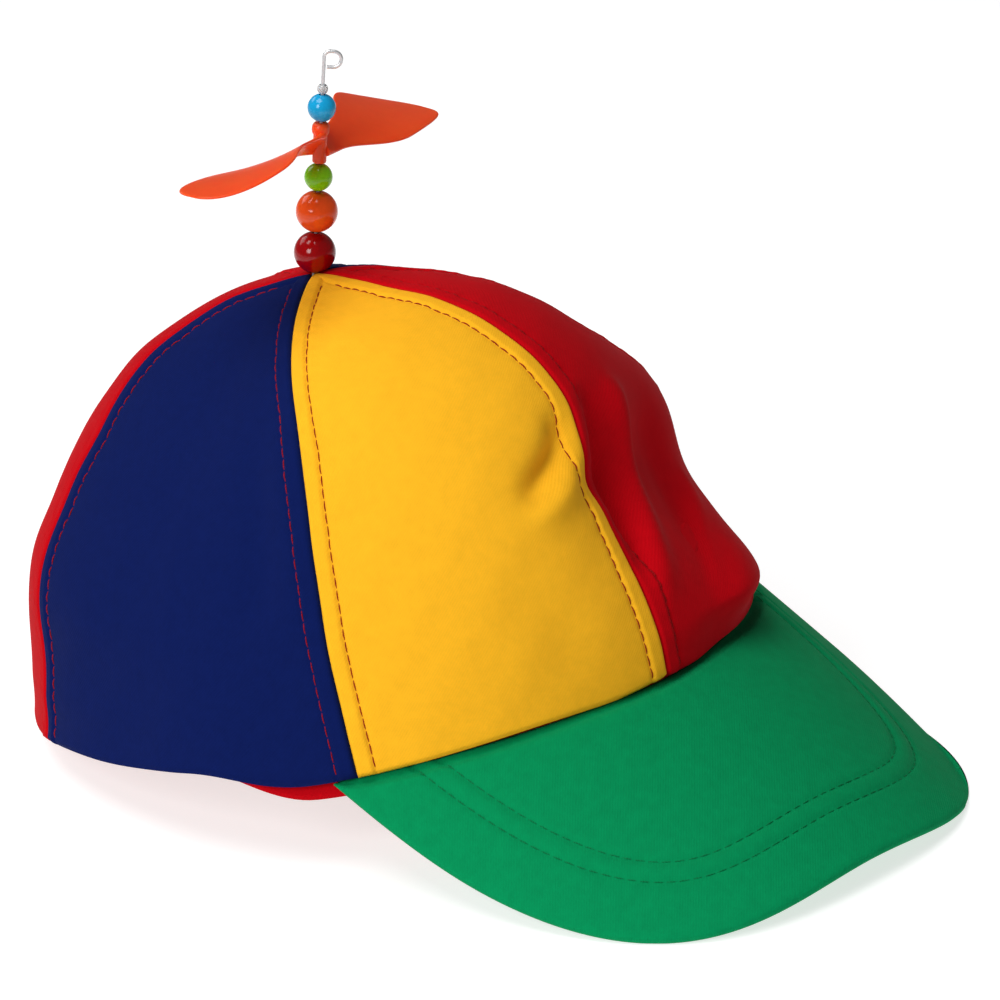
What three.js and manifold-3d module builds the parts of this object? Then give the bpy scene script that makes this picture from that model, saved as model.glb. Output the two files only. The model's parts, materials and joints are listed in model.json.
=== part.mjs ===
// A propeller beanie: a six-panel cotton cap with a peak, and on its crown a wire spindle
// with five beads and a propeller of two blades that turns on the wire.
// Millimetres, +Z up, the peak points to -Y, the wearer's right is -X and the table is z = 0.
// The cap is shaped level on its rim, in its own frame, and then leaned back until it stands
// on the back of its rim and the two front corners of its peak, as it does on a table.
import * as THREE from 'three';
import { mergeVertices } from 'three/addons/utils/BufferGeometryUtils.js';
import Module from 'manifold-3d';

const wasm = await Module();
wasm.setup();

// Head opening: a rounded outline, with its own reach and roundness before and behind the ears
const headHalfWidth = 89.8;
const headFront = 88.7;
const headBack = 94.8;
const frontRoundness = 1.81;
const backRoundness = 2.33;

// Crown: how high it stands over the rim, where its top is, and how full its outline is
// from the front, the sides and the back (2 is an ellipse, more is fuller)
const crownHeight = 96.6;
const crownTopBack = 5.7;
const frontFullness = 2.67;
const sideFullness = 1.94;
const backFullness = 2.28;
const sideSlope = 0.171;        // how far the sides draw in at mid height, a share of the half width
const panelWall = 1.5;
const clothGap = 0.3;
const topHoleRadius = 2.0;

// Seams between the panels: degrees round from the front towards the wearer's right,
// at the rim and at the top
const seams = [
  { rim: 0.0, top: -3.1 },
  { rim: 53.5, top: 58.7 },
  { rim: 117.1, top: 148.6 },
  { rim: 180.0, top: 180.0 },
  { rim: 242.9, top: 211.4 },
  { rim: 306.5, top: 301.3 },
  { rim: 360.0, top: 356.9 },
];

const panels = [
  { name: 'crown_panel_front_right', colour: 0xf2b92c },
  { name: 'crown_panel_side_right', colour: 0x14286a },
  { name: 'crown_panel_back_right', colour: 0xba0a1a },
  { name: 'crown_panel_back_left', colour: 0xf2b92c },
  { name: 'crown_panel_side_left', colour: 0x14286a },
  { name: 'crown_panel_front_left', colour: 0xba0a1a },
];

// Soft dents and swells of the cloth: depth is a share of the half width, outwards positive,
// height and tall are shares of the crown's height, angle and wide are degrees round
const folds = [
  { depth: -0.141, angle: -14.0, wide: 23.4, height: 0.45, tall: 0.18 },
  { depth: 0.091, angle: -22.7, wide: 15.4, height: 0.10, tall: 0.13 },
  { depth: 0.093, angle: 112.7, wide: 37.5, height: 0.43, tall: 0.23 },
  { depth: 0.079, angle: -57.0, wide: 30.9, height: 0.57, tall: 0.16 },
  { depth: 0.014, angle: -60.3, wide: 25.0, height: 0.49, tall: 0.14 },
];
const foldStart = 0.12;         // the height, a share of the crown's, where a fold is free of the rim

// Peak: a board bent round a cylinder that slopes down to the front
const peakLength = 71.4;
const peakHalfWidth = 80.6;
const peakRoundness = 3.0;
const peakRoot = 55.8;          // how far behind the front of the rim the sides of its outline start
const peakSlope = 35.2;         // degrees
const peakBend = 111.9;         // radius of the cylinder
const peakDrop = 0.7;           // how far the board's crest lies under the rim's level
const peakThickness = 3.0;
const peakTuck = 1.0;           // how far the crown covers the peak's inner edge
const rimLevelStart = 60;       // degrees round where the rim starts to leave the peak's slope
const rimLevelEnd = 85;         // and where it is level

// Sweatband
const bandHeight = 28;
const bandWall = 1.2;
const bandGap = 0.5;
const bandLift = 1.8;           // its lower edge above the rim at the back
const bandDrop = 3.6;           // and below it at the peak
const bandLevelStart = 60;      // degrees round where its lower edge starts to rise from the peak
const bandLevelEnd = 82;        // and where it has risen

// Spindle: leans from the crown's own upright, in degrees
const spindleForward = 14.2;
const spindleLeft = 7.0;
const wireRadius = 0.45;
const footRadius = 4.5;
const footGap = 0.5;
const footThickness = 1;
const runningGap = 0.3;
const largeBeadRadius = 5.2;
const smallBeadRadius = 3.5;
const clearBeadRadius = 1.35;
const boreRadius = 0.8;
const hubLength = 10.3;
const hubRadius = 1.75;
const stemAboveBeads = 4.2;     // bare wire over the clear bead, up to the hook
const hookRadius = 2.0;
const hookReach = 2.2;          // straight run of the hook's upper and lower bars
const hookTurn = -44;           // degrees round the wire that the hook points to

// Propeller blades: each is a twisted leaf, steep at its root and nearly flat at its tip
const bladeLength = 48.9;
const bladeLead = 14.4;         // width before the blade's middle line
const bladeTrail = 9.7;         // and behind it
const bladeRootPitch = 60;      // degrees
const bladeTipPitch = 2.4;
const bladeTwist = 0.65;        // power of the way out by which the pitch falls: less is sooner
const bladeThickness = 0.8;
const bladeDroop = 2.8;
const bladeBow = 3.0;           // degrees by which each blade turns from a straight line
const propellerTurn = 10.4;     // degrees round the wire at which the propeller stands

// The leaf's two edges: how wide each is at the root, as a share of its full width, and the
// powers that round it off at the tip
const leafEdges = {
  lead: { width: bladeLead, rootShare: 0.25, fullness: 3.3, rounding: 0.48 },
  trail: { width: bladeTrail, rootShare: 0.4, fullness: 2.4, rounding: 0.2 },
};
const leafWidens = { from: 0.12, to: 0.62 };  // shares of the blade's length

const flattened = 0.6;          // how much the cloth gives where it rests on the table

const { degToRad, clamp, smoothstep, lerp } = THREE.MathUtils;

// A number raised to a power with its sign kept
function signedPower(value, power) {
  return Math.sign(value) * Math.abs(value) ** power;
}

// A value that goes from side to front or back with the square of the cosine of the angle
function roundTheHead(angle, front, side, back) {
  const c = Math.cos(angle);
  return side + ((c > 0 ? front : back) - side) * c * c;
}

// The board's top surface: u runs across along the bend, v runs out from the front of the rim,
// and depth goes down through its thickness
function boardPoint(u, v, depth = 0) {
  const turn = u / peakBend;
  const slope = degToRad(peakSlope);
  const radius = peakBend - depth;
  const across = radius * Math.sin(turn);
  const rise = radius * Math.cos(turn) - peakBend;
  return new THREE.Vector3(
    across,
    -headFront - v * Math.cos(slope) - rise * Math.sin(slope),
    -peakDrop - v * Math.sin(slope) + rise * Math.cos(slope),
  );
}

// The u and v of the board's point at a place in plan, for a depth through its thickness
function boardPlace(x, y, depth = 0) {
  const radius = peakBend - depth;
  const turn = Math.asin(clamp(x / radius, -1, 1));
  const slope = degToRad(peakSlope);
  const rise = radius * Math.cos(turn) - peakBend;
  return { u: peakBend * turn, v: -(y + headFront + rise * Math.sin(slope)) / Math.cos(slope) };
}

// The rim's outline in plan, drawn in by inset
function rimPlan(angle, inset = 0) {
  const c = Math.cos(angle);
  const s = Math.sin(angle);
  const reach = (c > 0 ? headFront : headBack) - inset;
  const power = 2 / (c > 0 ? frontRoundness : backRoundness);
  const halfWidth = headHalfWidth - inset;
  return new THREE.Vector2(-halfWidth * signedPower(s, power), -reach * signedPower(c, power));
}

// The rim's height: on the peak's board at the front, level from the ears backwards
function rimHeight(angle, x, y) {
  const place = boardPlace(x, y);
  const from = Math.cos(degToRad(rimLevelEnd));
  const to = Math.cos(degToRad(rimLevelStart));
  return smoothstep(Math.cos(angle), from, to) * boardPoint(place.u, place.v).z;
}

// The crown's outer surface: angle runs round from the front to the wearer's right,
// climb runs from 0 at the rim to 1 at the top. Its upright section is a superellipse,
// drawn in at the sides, with the folds laid on outwards, up to a most swell.
function crownPoint(angle, climb, mostSwell = Infinity) {
  const rim = rimPlan(angle);
  const power = 2 / roundTheHead(angle, frontFullness, sideFullness, backFullness);
  const turn = climb * Math.PI / 2;
  const radius = Math.abs(Math.cos(turn)) ** power;
  const height = Math.abs(Math.sin(turn)) ** power;
  const out = new THREE.Vector2(rim.x, rim.y - crownTopBack);
  const drawnIn = sideSlope * roundTheHead(angle, 0, 1, 0) * 4 * height * (1 - height);
  let swell = 0;
  for (const fold of folds) {
    const round = Math.abs(angle - degToRad(fold.angle)) % (2 * Math.PI);
    const away = Math.min(round, 2 * Math.PI - round) / degToRad(fold.wide);
    const up = (height - fold.height) / fold.tall;
    swell += fold.depth * Math.exp(-away * away - up * up) * smoothstep(height, 0, foldStart);
  }
  const reach = (Math.min(swell, mostSwell) - drawnIn) * headHalfWidth;
  const outwards = out.clone().normalize().multiplyScalar(reach);
  const rimZ = rimHeight(angle, rim.x, rim.y);
  return new THREE.Vector3(
    out.x * radius + outwards.x,
    crownTopBack + out.y * radius + outwards.y,
    rimZ + (crownHeight - rimZ) * height,
  );
}

// The climb at which the crown is a given radius from its middle
function climbAtRadius(angle, radius) {
  const rim = rimPlan(angle);
  const fullness = roundTheHead(angle, frontFullness, sideFullness, backFullness);
  const share = radius / Math.hypot(rim.x, rim.y - crownTopBack);
  return Math.acos(share ** (fullness / 2)) / (Math.PI / 2);
}

// The climb at which the crown has risen by a share of its height
function climbAtHeight(angle, share) {
  const fullness = roundTheHead(angle, frontFullness, sideFullness, backFullness);
  return Math.asin(share ** (fullness / 2)) / (Math.PI / 2);
}

// Directions along the crown's surface at a point: round, and outwards from the cloth
function crownDirections(angle, climb, mostSwell) {
  const step = 0.006;
  const low = Math.max(climb - step, 0);
  const high = Math.min(climb + step, 1 - step / 2);
  const before = crownPoint(angle - step, climb, mostSwell);
  const round = crownPoint(angle + step, climb, mostSwell).sub(before).normalize();
  const up = crownPoint(angle, high, mostSwell).sub(crownPoint(angle, low, mostSwell)).normalize();
  return { round, outwards: up.cross(round).normalize() };
}

// The crown's surface moved inwards through the cloth, and along its round direction
function clothPoint(angle, climb, depth, shift = 0, mostSwell = Infinity) {
  const { round, outwards } = crownDirections(angle, climb, mostSwell);
  const place = crownPoint(angle, climb, mostSwell);
  return place.addScaledVector(outwards, -depth).addScaledVector(round, shift);
}

// A closed body between two grids of points, given as rows of equal length. Walls close its
// borders, or join its first and last columns when it is a ring.
function closedSheet(front, back, ring = false) {
  const rows = front.length;
  const columns = front[0].length;
  const positions = [...front.flat(), ...back.flat()].flatMap((point) => point.toArray());
  const faces = [];
  const at = (side, row, column) => side * rows * columns + row * columns + (column % columns);
  const quad = (a, b, c, d) => faces.push(a, b, c, a, c, d);
  const lastColumn = ring ? columns : columns - 1;
  const topRow = rows - 1;
  const end = columns - 1;
  for (let row = 0; row < topRow; row += 1) {
    for (let column = 0; column < lastColumn; column += 1) {
      quad(at(0, row, column), at(0, row + 1, column), at(0, row + 1, column + 1), at(0, row, column + 1));
      quad(at(1, row, column), at(1, row, column + 1), at(1, row + 1, column + 1), at(1, row + 1, column));
    }
  }
  for (let column = 0; column < lastColumn; column += 1) {
    quad(at(0, 0, column), at(0, 0, column + 1), at(1, 0, column + 1), at(1, 0, column));
    quad(at(0, topRow, column), at(1, topRow, column), at(1, topRow, column + 1), at(0, topRow, column + 1));
  }
  for (let row = 0; row < topRow && !ring; row += 1) {
    quad(at(0, row, 0), at(1, row, 0), at(1, row + 1, 0), at(0, row + 1, 0));
    quad(at(0, row, end), at(0, row + 1, end), at(1, row + 1, end), at(1, row, end));
  }
  const geometry = new THREE.BufferGeometry();
  geometry.setAttribute('position', new THREE.Float32BufferAttribute(positions, 3));
  geometry.setIndex(faces);
  return geometry;
}

// Rows and columns of points from a function of two shares, from 0 to 1
function grid(rows, columns, point, ring = false) {
  return Array.from({ length: rows + 1 }, (_, row) => (
    Array.from({ length: ring ? columns : columns + 1 }, (__, column) => point(column / columns, row / rows))
  ));
}

// One panel of the crown, between two seams
function panelGeometry(fromSeam, toSeam) {
  const point = (depth) => (across, up) => {
    const share = up ** 1.3;
    const angleOf = (seam) => degToRad(lerp(seam.rim, seam.top, share));
    const angle = lerp(angleOf(fromSeam), angleOf(toSeam), across);
    const climb = share * climbAtRadius(angle, topHoleRadius);
    const shift = across === 0 ? clothGap / 2 : (across === 1 ? -clothGap / 2 : 0);
    const place = clothPoint(angle, climb, depth, shift);
    if (up === 0) {
      place.z = rimHeight(angle, place.x, place.y) + clothGap / Math.cos(degToRad(peakSlope));
    }
    return place;
  };
  return closedSheet(grid(20, 12, point(0)), grid(20, 12, point(panelWall)));
}

// The band lies inside the panels, and keeps to the head where they swell. At the front it
// reaches down past the peak's edge.
function bandGeometry() {
  const point = (depth) => (round, up) => {
    const angle = round * 2 * Math.PI;
    const raised = Math.cos(degToRad(bandLevelEnd));
    const front = smoothstep(Math.cos(angle), raised, Math.cos(degToRad(bandLevelStart)));
    const height = lerp(bandLift * (1 - front), bandHeight, up);
    const place = clothPoint(angle, climbAtHeight(angle, height / crownHeight), depth, 0, 0);
    if (up === 0) {
      place.z -= bandDrop * front;
    }
    return place;
  };
  const outside = panelWall + bandGap;
  return closedSheet(grid(4, 60, point(outside), true), grid(4, 60, point(outside + bandWall), true), true);
}

// The peak's outer edge on the board, by an angle that is 0 at the middle of its front
function peakEdge(turn) {
  const power = 2 / peakRoundness;
  const u = -peakHalfWidth * signedPower(Math.sin(turn), power);
  const v = -peakRoot + (peakLength + peakRoot) * Math.cos(turn) ** power;
  return { u, v };
}

// The angle at which the peak's outer edge runs under the crown
function peakEdgeEnd() {
  let outside = 0;
  let inside = Math.PI / 2;
  for (let step = 0; step < 40; step += 1) {
    const middle = (outside + inside) / 2;
    const edge = peakEdge(middle);
    const { x, y } = boardPoint(edge.u, edge.v);
    const reach = Math.abs(x / headHalfWidth) ** frontRoundness + Math.abs(y / headFront) ** frontRoundness;
    if (reach > 1 || y > 0) {
      outside = middle;
    } else {
      inside = middle;
    }
  }
  return inside;
}

// The angle round the head at which the peak's inner edge ends, just short of its outer edge
function peakInnerEnd(edgeEnd) {
  const edge = peakEdge(edgeEnd);
  const corner = boardPoint(edge.u, edge.v);
  const c = (Math.abs(corner.y) / headFront) ** (frontRoundness / 2);
  return Math.acos(c) - degToRad(2.5);
}

function peakGeometry() {
  const edgeEnd = peakEdgeEnd();
  const innerEnd = peakInnerEnd(edgeEnd);
  const point = (depth) => (across, out) => {
    const side = 2 * across - 1;
    const inner = rimPlan(side * innerEnd, peakTuck);
    const from = boardPlace(inner.x, inner.y, depth);
    const to = peakEdge(signedPower(side, peakRoundness / 2) * edgeEnd);
    return boardPoint(lerp(from.u, to.u, out), lerp(from.v, to.v, out), depth);
  };
  return closedSheet(grid(7, 48, point(peakThickness)), grid(7, 48, point(0)));
}

// A solid for cutting and joining, from a closed geometry
function solid(geometry) {
  const bare = geometry.clone();
  bare.deleteAttribute('normal');
  bare.deleteAttribute('uv');
  const merged = mergeVertices(bare, 1e-4);
  return new wasm.Manifold(new wasm.Mesh({
    numProp: 3,
    vertProperties: new Float32Array(merged.attributes.position.array),
    triVerts: new Uint32Array(merged.index.array),
  }));
}

function geometryOf(body) {
  const mesh = body.getMesh();
  const geometry = new THREE.BufferGeometry();
  geometry.setAttribute('position', new THREE.Float32BufferAttribute(mesh.vertProperties, 3));
  geometry.setIndex([...mesh.triVerts]);
  return geometry;
}

// A turned body with its axis along Z, from radius and height pairs in order round its section
function turned(profile, sides) {
  const points = profile.map(([radius, height]) => new THREE.Vector2(radius, height));
  return new THREE.LatheGeometry(points, sides).rotateX(Math.PI / 2);
}

// A round bead with a bore along Z
function beadGeometry(radius, sides = 12, arcs = 8) {
  const start = Math.asin(boreRadius / radius);
  const profile = Array.from({ length: arcs + 1 }, (_, step) => {
    const turn = lerp(start, Math.PI - start, step / arcs);
    return [radius * Math.sin(turn), -radius * Math.cos(turn)];
  });
  return turned([...profile, profile[0]], sides);
}

// Half the height of a bead, measured at its bore, is less than its radius by the bore's cut
function beadHalfHeight(radius) {
  return Math.sqrt(radius ** 2 - boreRadius ** 2);
}

// How far one edge of the leaf stands from its middle line, at a share of the way out
function leafEdge({ width, rootShare, fullness, rounding }, share) {
  const widening = smoothstep(share, leafWidens.from, leafWidens.to);
  const tip = 0.9995;           // leaves the tip a little width, so that the leaf stays closed
  return width * (1 - tip * share ** fullness) ** rounding * lerp(rootShare, 1, widening);
}

// A blade: a leaf that widens from the hub and narrows to its tip, twisted from a steep root
// to a nearly flat tip. Its middle line runs along X.
function bladeGeometry() {
  const root = 0.02;
  const point = (depth) => (across, along) => {
    const share = lerp(root, 1, 1 - (1 - along) ** 1.5);
    const chord = lerp(-leafEdge(leafEdges.trail, share), leafEdge(leafEdges.lead, share), across);
    const pitch = degToRad(lerp(bladeRootPitch, bladeTipPitch, share ** bladeTwist));
    return new THREE.Vector3(
      bladeLength * share,
      chord * Math.cos(pitch) + depth * Math.sin(pitch),
      chord * Math.sin(pitch) - depth * Math.cos(pitch) - bladeDroop * share * share,
    );
  };
  const half = bladeThickness / 2;
  return closedSheet(grid(14, 5, point(-half)), grid(14, 5, point(half)));
}

function propellerGeometry() {
  const half = hubLength / 2;
  const round = hubRadius * 0.35;
  const outside = solid(turned([
    [0, -half],
    [hubRadius - round, -half],
    [hubRadius, -half + round],
    [hubRadius, half - round],
    [hubRadius - round, half],
    [0, half],
  ], 16));
  const past = half + boreRadius;
  const bore = solid(turned([[0, -past], [boreRadius, -past], [boreRadius, past], [0, past]], 12));
  const blade = solid(bladeGeometry().rotateZ(degToRad(bladeBow)));
  const opposite = solid(bladeGeometry().rotateZ(Math.PI - degToRad(bladeBow)));
  return geometryOf(outside.add(blade).add(opposite).subtract(bore));
}

// The hook at the wire's top: up, over to the side and back to the stem, in the plane X-Z
function hookGeometry(bottom) {
  const path = new THREE.CurvePath();
  const gap = wireRadius * 1.6;
  const top = bottom + 2 * hookRadius;
  const left = new THREE.Vector3(0, 0, bottom);
  const bend = wireRadius * 2.2;
  const points = {
    shoulder: new THREE.Vector3(0, 0, top - bend),
    over: new THREE.Vector3(bend, 0, top),
    far: new THREE.Vector3(hookReach, 0, top),
    side: new THREE.Vector3(hookReach + hookRadius, 0, bottom + hookRadius * 0.9),
    under: new THREE.Vector3(hookReach + hookRadius * 0.7, 0, bottom),
    end: new THREE.Vector3(gap, 0, bottom),
  };
  path.add(new THREE.LineCurve3(left, points.shoulder));
  path.add(new THREE.QuadraticBezierCurve3(points.shoulder, new THREE.Vector3(0, 0, top), points.over));
  path.add(new THREE.LineCurve3(points.over, points.far));
  path.add(new THREE.QuadraticBezierCurve3(
    points.far, new THREE.Vector3(hookReach + hookRadius * 0.8, 0, top), points.side,
  ));
  path.add(new THREE.QuadraticBezierCurve3(
    points.side, new THREE.Vector3(hookReach + hookRadius, 0, bottom), points.under,
  ));
  path.add(new THREE.LineCurve3(points.under, points.end));
  const section = new THREE.Shape();
  section.absarc(0, 0, wireRadius * 0.9, 0, 2 * Math.PI);
  return new THREE.ExtrudeGeometry(section, {
    steps: 22,
    extrudePath: path,
    bevelEnabled: false,
    curveSegments: 4,
  });
}

// The wire: a plain foot under the crown's top, the stem, and the hook
function wireGeometry(footHeight, stemTop, lean) {
  const stemEnd = stemTop + wireRadius;
  const low = footHeight;
  const stem = solid(turned([[0, low], [wireRadius, low], [wireRadius, stemEnd], [0, stemEnd]], 10));
  const hook = solid(hookGeometry(stemTop).rotateZ(degToRad(hookTurn)));
  const disc = turned([
    [0, -footThickness / 2],
    [footRadius, -footThickness / 2],
    [footRadius, footThickness / 2],
    [0, footThickness / 2],
  ], 16);
  disc.applyQuaternion(lean.clone().invert()).translate(0, 0, low);
  return geometryOf(stem.add(hook).add(solid(disc)));
}

function mesh(name, geometry, colour, roughness, metalness = 0) {
  const clean = geometry.index ? geometry : mergeVertices(geometry);
  const shaded = clean.toNonIndexed();
  shaded.computeVertexNormals();
  const finish = new THREE.MeshStandardMaterial({ color: colour, roughness, metalness });
  const piece = new THREE.Mesh(shaded, finish);
  piece.name = name;
  return piece;
}

// The spindle group has its origin at the crown's top and its Z along the wire
function makeSpindle() {
  const spindle = new THREE.Group();
  spindle.position.set(0, crownTopBack, crownHeight);
  spindle.rotation.set(degToRad(spindleForward), degToRad(spindleLeft), 0);
  const lean = spindle.quaternion;
  const upright = new THREE.Vector3(0, 0, 1).applyQuaternion(lean).z;
  let height = (largeBeadRadius + runningGap) / upright - beadHalfHeight(largeBeadRadius);
  const stack = (halfHeight, piece) => {
    piece.position.z = height + halfHeight;
    height += 2 * halfHeight + runningGap;
    spindle.add(piece);
    return piece;
  };
  const bead = (name, radius, colour, roughness = 0.2) => (
    stack(beadHalfHeight(radius), mesh(name, beadGeometry(radius), colour, roughness))
  );
  bead('red_bead', largeBeadRadius, 0x9d020a);
  bead('orange_bead', largeBeadRadius, 0xd8411a);
  bead('green_bead', smallBeadRadius, 0x62a914);
  const propeller = stack(hubLength / 2, mesh('propeller', propellerGeometry(), 0xf0461e, 0.35));
  propeller.rotation.z = degToRad(propellerTurn);
  bead('blue_bead', smallBeadRadius, 0x28aad7);
  bead('clear_bead', clearBeadRadius, 0xe8ecec, 0.1);
  const footHeight = -(panelWall + footGap + footThickness / 2) / upright;
  spindle.add(mesh('wire', wireGeometry(footHeight, height + stemAboveBeads, lean), 0xb8babc, 0.3, 1));
  return spindle;
}

// The height of a point over the table, for a cap that leans back by an angle
function standingHeight(point, lean) {
  return point.z * Math.cos(lean) - point.y * Math.sin(lean);
}

function lowest(geometries, lean) {
  const point = new THREE.Vector3();
  let low = Infinity;
  for (const { attributes: { position } } of geometries) {
    for (let index = 0; index < position.count; index += 1) {
      low = Math.min(low, standingHeight(point.fromBufferAttribute(position, index), lean));
    }
  }
  return low;
}

// The lean at which the back of the rim and the peak's front corners are equally low
function restingLean(rim, peak) {
  let low = 0;
  let high = degToRad(30);
  for (let step = 0; step < 40; step += 1) {
    const middle = (low + high) / 2;
    if (lowest(rim, middle) > lowest([peak], middle)) {
      low = middle;
    } else {
      high = middle;
    }
  }
  return low;
}

// Cloth that would reach under the table is pressed flat on it
function pressOnTable(geometry, lean, table) {
  const { position } = geometry.attributes;
  const point = new THREE.Vector3();
  for (let index = 0; index < position.count; index += 1) {
    const under = table - standingHeight(point.fromBufferAttribute(position, index), lean);
    if (under > 0) {
      point.add(new THREE.Vector3(0, -under * Math.sin(lean), under * Math.cos(lean)));
      position.setXYZ(index, point.x, point.y, point.z);
    }
  }
}

const panelGeometries = panels.map((panel, index) => panelGeometry(seams[index], seams[index + 1]));
const peak = peakGeometry();
const lean = restingLean(panelGeometries, peak);
const table = lowest([...panelGeometries, peak], lean) + flattened;

const cap = new THREE.Group();
panels.forEach((panel, index) => {
  pressOnTable(panelGeometries[index], lean, table);
  cap.add(mesh(panel.name, panelGeometries[index], panel.colour, 0.9));
});
pressOnTable(peak, lean, table);
cap.add(mesh('peak', peak, 0x009458, 0.9));
cap.add(mesh('sweatband', bandGeometry(), 0xba0a1a, 0.9));
cap.add(makeSpindle());
cap.rotation.x = -lean;

// The finished beanie stands on the table, centred on its own box
const beanie = new THREE.Group();
beanie.add(cap);
beanie.updateMatrixWorld(true);
const middle = new THREE.Box3().setFromObject(beanie, true).getCenter(new THREE.Vector3());
cap.position.set(-middle.x, -middle.y, -table);

export default beanie;
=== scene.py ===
"""The looks of a propeller beanie round its fixed frame: six twill panels with topstitched
seams, a cloth-covered peak, a sweatband, lacquered beads, a moulded propeller and its wire.

Lengths are in millimetres and angles in degrees. The cap is shaped in its own frame, level on
its rim with the peak towards -Y, and then stood on the table as the frame's joint says.
"""

import json
import math

import bmesh
import bpy
import numpy as np
from mathutils import Matrix, Vector


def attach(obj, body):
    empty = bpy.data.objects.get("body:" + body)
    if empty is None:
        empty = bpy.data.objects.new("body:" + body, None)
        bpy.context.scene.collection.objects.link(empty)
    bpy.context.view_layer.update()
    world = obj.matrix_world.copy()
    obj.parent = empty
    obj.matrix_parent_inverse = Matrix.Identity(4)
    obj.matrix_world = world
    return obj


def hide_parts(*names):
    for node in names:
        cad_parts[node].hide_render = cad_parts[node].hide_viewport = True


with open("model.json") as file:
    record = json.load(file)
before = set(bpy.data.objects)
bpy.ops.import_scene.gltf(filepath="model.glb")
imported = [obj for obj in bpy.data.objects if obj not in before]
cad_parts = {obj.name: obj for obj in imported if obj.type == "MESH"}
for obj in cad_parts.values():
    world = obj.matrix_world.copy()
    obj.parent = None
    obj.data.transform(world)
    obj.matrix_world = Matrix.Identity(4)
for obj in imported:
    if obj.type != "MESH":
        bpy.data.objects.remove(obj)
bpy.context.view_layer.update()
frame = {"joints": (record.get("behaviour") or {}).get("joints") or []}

MM = 0.001

# Head opening
HEAD_HALF_WIDTH = 89.44
HEAD_FRONT = 89.52
HEAD_BACK = 94.78
FRONT_ROUNDNESS = 1.828
BACK_ROUNDNESS = 2.35

# Crown
CROWN_HEIGHT = 96.6
CROWN_TOP_BACK = 5.7
FRONT_FULLNESS = 2.644
SIDE_FULLNESS = 1.884
BACK_FULLNESS = 2.213
SIDE_SLOPE = 0.168
CLOTH = 1.3                   # thickness of the panels
SEAM_GAP = 0.06               # between two panels, half on each side
TOP_HOLE = 1.2
ROW_SPACING = 0.8             # of the panels' meshes
PANEL_WIDTH = 95.0

# Round the top the cloth falls a little straighter than the crown's upright section: how far,
# how much more of it at the front, and the distance from the top and the width of that ring
SHOULDER_FALL = (1.18, 0.59)
SHOULDER_RING = (26.2, 16.4)

# Seams, in degrees round from the front: at the rim, at the top, and one, two and three half
# waves between them
SEAMS = {
    "front": (0.37, -2.86, (-0.34, -0.61, 1.07)),
    "right": (53.04, 61.22, (-1.19, 0.08, 0.68)),
    "back_right": (117.03, 148.12, (-1.23, -0.95, 0.39)),
    "back": (179.0, 216.0, (-1.5, -1.5, 0.3)),
    "back_left": (242.9, 231.0, (0.9, 0.5, -0.3)),
    "left": (306.5, 301.3, (1.0, -0.3, -0.5)),
    "front_again": (360.37, 357.14, (-0.34, -0.61, 1.07)),
}
PANELS = [
    ("panel_front_right", "cotton_yellow", "front", "right"),
    ("panel_side_right", "cotton_navy", "right", "back_right"),
    ("panel_back_right", "cotton_red", "back_right", "back"),
    ("panel_back_left", "cotton_yellow", "back", "back_left"),
    ("panel_side_left", "cotton_navy", "back_left", "left"),
    ("panel_front_left", "cotton_red", "left", "front_again"),
]

# Broad dents and swells: the depth as a share of the half width, the place and width in degrees
# round, and the height and its reach as shares of the crown's height
FOLDS = [
    (-0.132, -15.5, 22.0, 0.446, 0.196),
    (0.095, -25.3, 15.9, 0.109, 0.136),
    (0.094, 114.3, 38.8, 0.419, 0.247),
    (0.080, -56.8, 31.1, 0.575, 0.177),
    (0.016, -60.3, 25.0, 0.488, 0.138),
]
FOLD_START = 0.12

# Soft creases of the cloth: how far each stands out, its width, and the line it keeps to as
# degrees round and share of the crown's height
CREASES = [
    (-4.4, 4.2, [(3.6, 0.66), (4.6, 0.62), (7.5, 0.59), (11.5, 0.56), (16, 0.523)]),
    (2.6, 4.2, [(5.5, 0.53), (10, 0.508), (15.5, 0.475)]),
    (-1.7, 5.0, [(-4, 0.485), (4, 0.505)]),
    (-2.3, 3.4, [(-9.5, 0.68), (-8.5, 0.633), (-7, 0.495), (-5.5, 0.375), (-3, 0.264)]),
    (3.6, 5.0, [
        (-19.5, 0.65), (-18, 0.61), (-17, 0.531), (-15.5, 0.403), (-8.5, 0.289), (-4, 0.18),
    ]),
    (-2.6, 8.0, [
        (-30, 0.58), (-30, 0.47), (-30, 0.38), (-25, 0.285), (-19, 0.205), (-15.5, 0.13),
        (-15, 0.06),
    ]),
    (0.8, 2.8, [(-38, 0.36), (-36, 0.31), (-25, 0.249), (-16.5, 0.15)]),
    (0.9, 6.0, [(62, 0.74), (60.5, 0.53), (61, 0.34)]),
    (-1.0, 5.0, [(67, 0.70), (66, 0.56), (66.5, 0.38)]),
    (-1.1, 8.0, [(22, 0.31), (18, 0.20), (17, 0.10)]),
    (0.9, 9.0, [(200, 0.62), (207, 0.40), (204, 0.20)]),
    (-0.9, 8.0, [(150, 0.66), (146, 0.42), (151, 0.22)]),
    (-1.0, 8.0, [(268, 0.60), (274, 0.38), (270, 0.18)]),
    (0.8, 8.0, [(286, 0.70), (289, 0.45), (283, 0.24)]),
]
CREASE_STEPS = 32             # points on each line
CREASE_TAPER = 0.35           # the power of its ends' fading
CREASE_ROUNDING = 0.12        # how much of the line its running mean takes, each way

# The rim's gentle waves: how far each lifts it, and where, in degrees round
HEM_WAVES = [
    (-1.0, 12), (-1.2, 350), (-1.4, 332), (-1.0, 318), (-0.75, 68), (0.47, 88),
    (0.78, 108), (0.5, 205), (-0.4, 232), (0.6, 262), (-0.5, 288),
]
HEM_WAVE_WIDTH = 10
HEM_WAVE_HEIGHT = 28          # how far up the cloth they reach

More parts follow.
